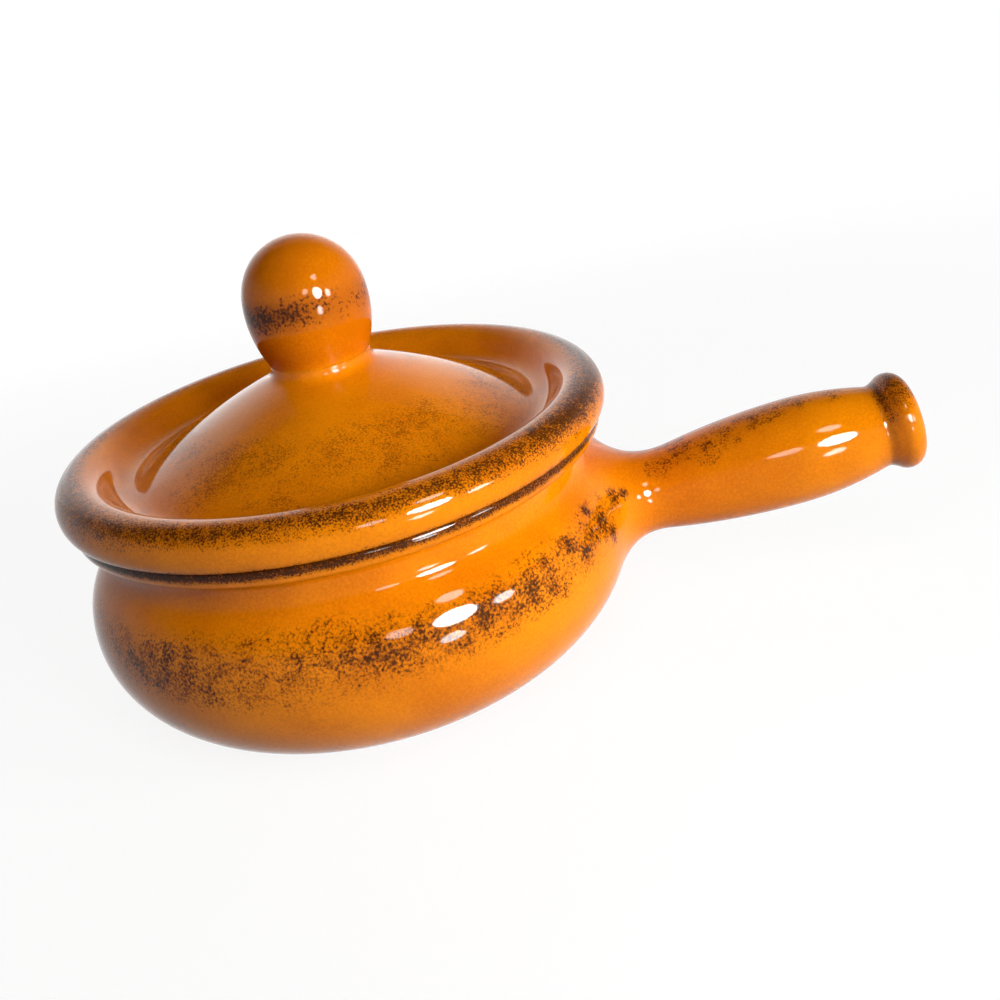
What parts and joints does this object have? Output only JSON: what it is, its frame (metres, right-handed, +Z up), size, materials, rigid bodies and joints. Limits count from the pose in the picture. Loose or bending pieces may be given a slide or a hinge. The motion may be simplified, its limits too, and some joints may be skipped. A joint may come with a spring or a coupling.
{
  "type": "lidded casserole bowl",
  "caption": "Round-bellied glazed casserole bowl with a rolled lip, a tilted barrel side handle ending in a bead, and a loose domed lid with a sunken trough and a bulb knob.",
  "frame": {"origin": "centre of the flat foot, on the bowl's axis", "axes": "+Z up along the bowl's axis, +X along the handle, mirror plane XZ"},
  "size_m": [0.2139, 0.1398, 0.1068],
  "materials": {
    "amber_glaze": "gloss glaze with dark speckled bands"
  },
  "bodies": {
    "bowl_body": {"bowl": "amber_glaze", "handle": "amber_glaze"},
    "lid_body": {"lid": "amber_glaze", "knob": "amber_glaze"}
  },
  "joints": [
    {"name": "lid_lift", "type": "slide", "parent": "bowl_body", "child": "lid_body", "axis": [0, 0, 1], "range_m": [0, 0.12]}
  ]
}
